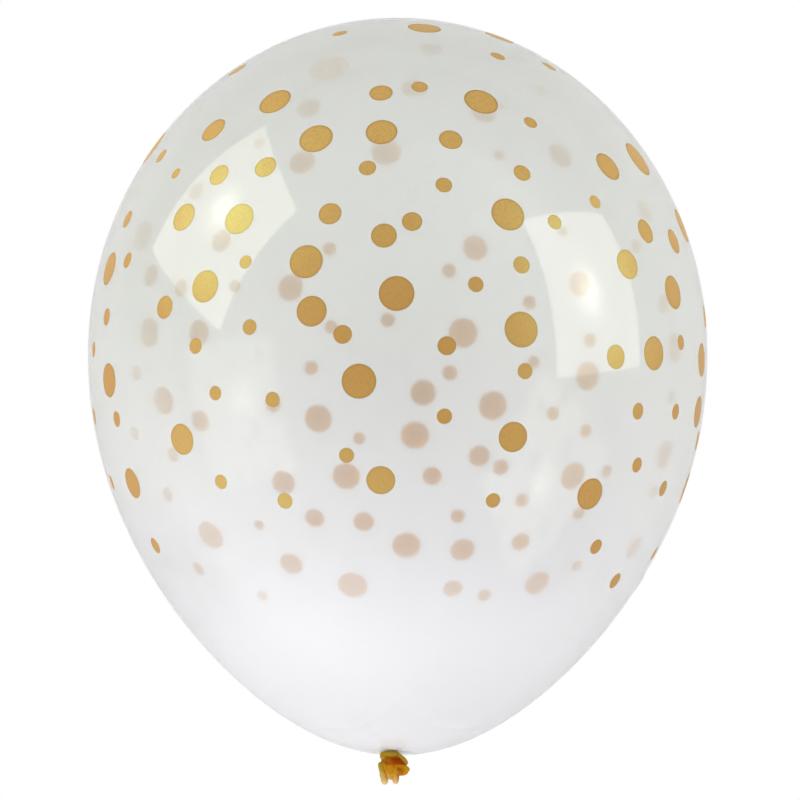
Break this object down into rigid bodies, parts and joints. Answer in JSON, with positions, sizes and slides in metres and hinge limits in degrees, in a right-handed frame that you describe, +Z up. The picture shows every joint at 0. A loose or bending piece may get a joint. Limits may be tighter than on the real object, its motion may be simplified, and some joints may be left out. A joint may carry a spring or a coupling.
{
  "type": "printed party balloon",
  "caption": "Round clear latex party balloon, blown up and knotted, printed all round with scattered gold dots, lying on its side.",
  "frame": {"origin": "on the floor plane under the middle of the lying balloon's box, at the level of its flat spot", "axes": "+Z up, +Y from the knot towards the crown, level along the floor, +X to the right when the balloon is seen from the knot's end with its front upwards"},
  "size_m": [0.3, 0.3718, 0.2997],
  "materials": {
    "clear_latex": "smooth and glossy, see-through, milkier towards the neck",
    "gold_ink": "thin printed ink of a metallic gold colour, satin",
    "amber_latex": "unstretched latex, amber and half see-through"
  },
  "bodies": {
    "root": {"balloon": "clear_latex"}
  },
  "joints": []
}
